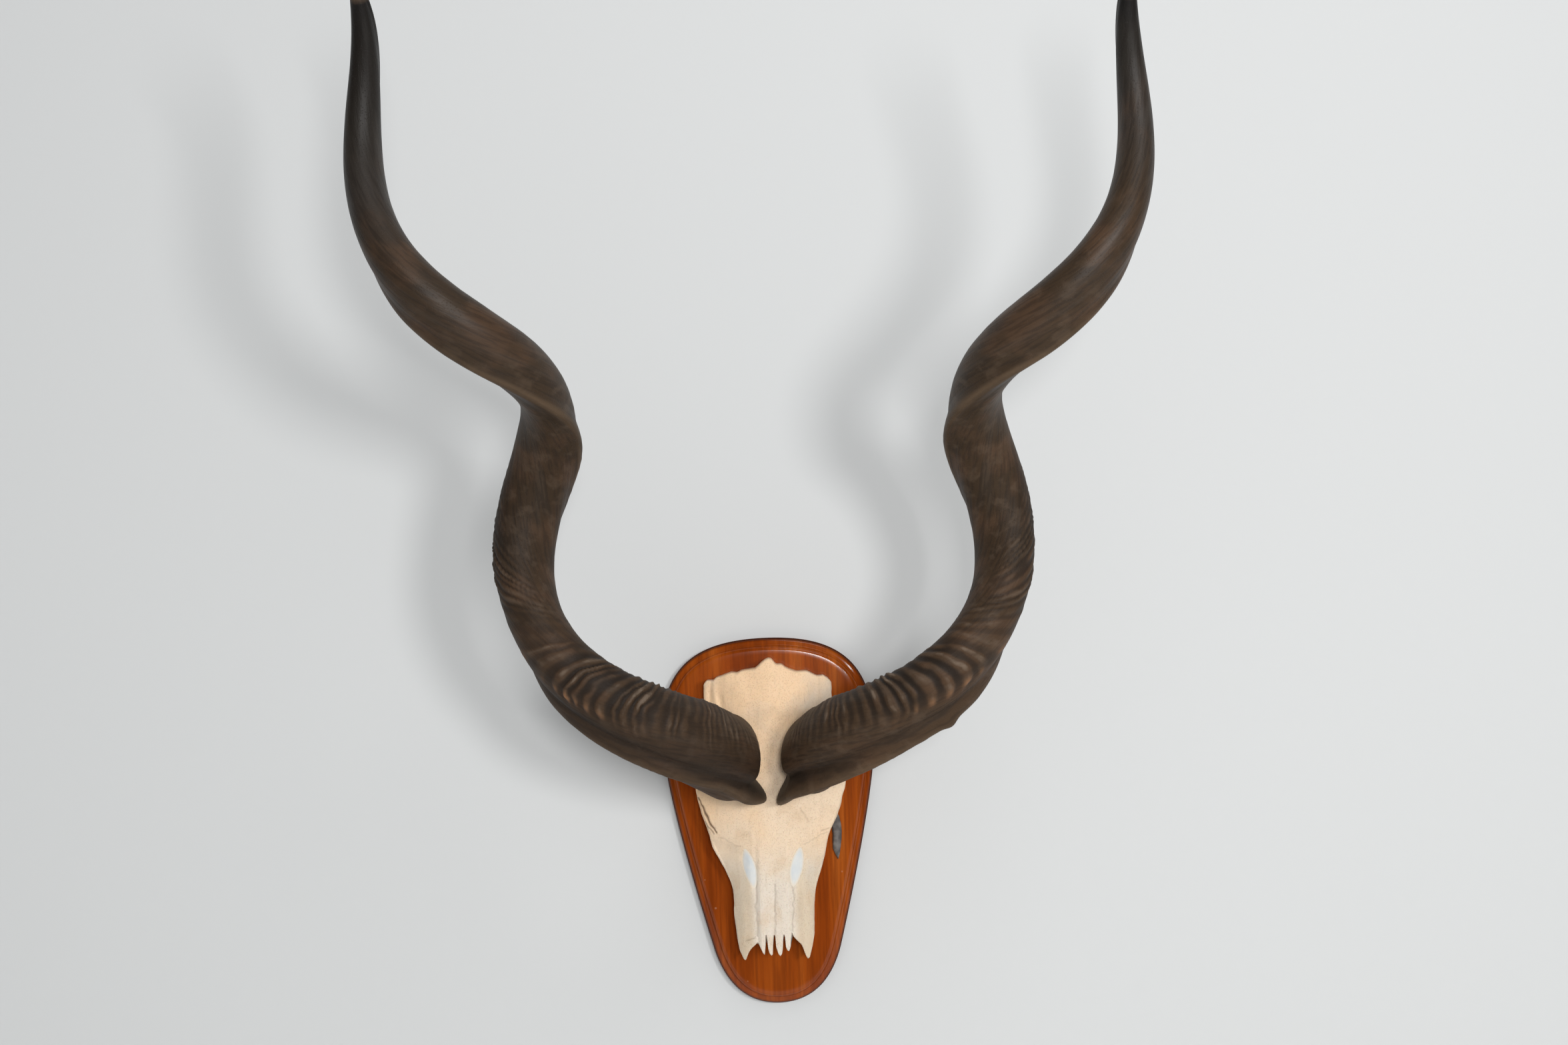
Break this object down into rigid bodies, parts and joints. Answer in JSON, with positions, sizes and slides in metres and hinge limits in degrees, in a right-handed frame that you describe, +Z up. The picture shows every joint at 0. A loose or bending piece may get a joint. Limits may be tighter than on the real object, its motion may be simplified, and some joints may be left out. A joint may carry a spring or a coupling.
{
  "type": "kudu horns on a skull plate, shield mounted",
  "caption": "Spiral horns of a greater kudu on their upper skull, fixed on a varnished wooden wall shield.",
  "frame": {"origin": "middle of the shield's flat back, in the plane that lies against the wall", "axes": "+Z up, +Y from the object into the wall, +X to the right for someone who faces the shield"},
  "size_m": [0.6874, 0.4313, 0.9632],
  "materials": {
    "wood": "clear gloss varnish over red-brown wood with upright grain",
    "bone": "bleached bone, matt to satin, peach on the forehead and paler on the nose",
    "horn": "dark brown keratin, ridged and dull near the foot, smoother and slightly glossy higher up, with pale tips",
    "filling": "matt white filler",
    "wedge": "dull dark grey"
  },
  "bodies": {
    "root": {"plaque": "wood", "skull": "bone", "horn_left": "horn", "horn_right": "horn", "filler_left": "filling", "filler_right": "filling", "packing_wedge": "wedge"}
  },
  "joints": []
}
